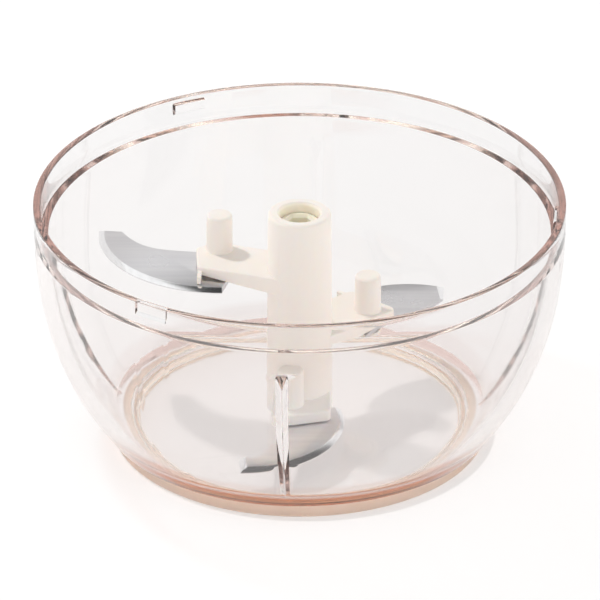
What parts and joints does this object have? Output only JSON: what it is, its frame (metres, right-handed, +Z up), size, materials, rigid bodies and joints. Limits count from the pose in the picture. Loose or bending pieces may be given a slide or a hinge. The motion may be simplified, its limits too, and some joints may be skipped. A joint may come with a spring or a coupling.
{
  "type": "mini food chopper bowl and blade unit",
  "caption": "Round clear rose-tinted chopper bowl with a lid ledge, inner ribs and a foot ring, holding a lift-out cream spindle with sickle blades at staggered heights.",
  "frame": {"origin": "on the table, under the centre of the bowl", "axes": "+Z up along the bowl's axis and the spindle; -Y towards the viewer of the picture; +X to the picture's right"},
  "size_m": [0.131, 0.131, 0.063],
  "materials": {
    "bowl_plastic": "clear with a faint rose tint, polished",
    "ring_rubber": "translucent pale elastomer, matte",
    "pin_steel": "ground",
    "acetal": "moulded acetal, satin",
    "hub_plastic": "moulded, satin cream",
    "socket_nylon": "moulded nylon, pale yellow",
    "blade_steel": "satin sheet with a ground edge",
    "keeper_plastic": "moulded, satin cream"
  },
  "bodies": {
    "bowl": {"bowl": "bowl_plastic", "nonslip_ring": "ring_rubber", "spindle_pin": "pin_steel"},
    "thrust_washer": {"thrust_washer": "acetal"},
    "blade_unit": {"blade_hub": "hub_plastic", "drive_socket": "socket_nylon", "spindle_bush": "acetal", "blade_upper": "blade_steel", "blade_middle": "blade_steel", "blade_lower": "blade_steel", "blade_keeper_upper": "keeper_plastic", "blade_keeper_middle": "keeper_plastic", "blade_keeper_lower": "keeper_plastic"}
  },
  "joints": [
    {"name": "blade_spin", "type": "hinge", "parent": "bowl", "child": "thrust_washer", "pos_m": [0, 0, 0.0115], "axis": [0, 0, 1], "continuous": true},
    {"name": "blade_lift", "type": "slide", "parent": "thrust_washer", "child": "blade_unit", "axis": [0, 0, 1], "range_m": [0, 0.065]}
  ]
}
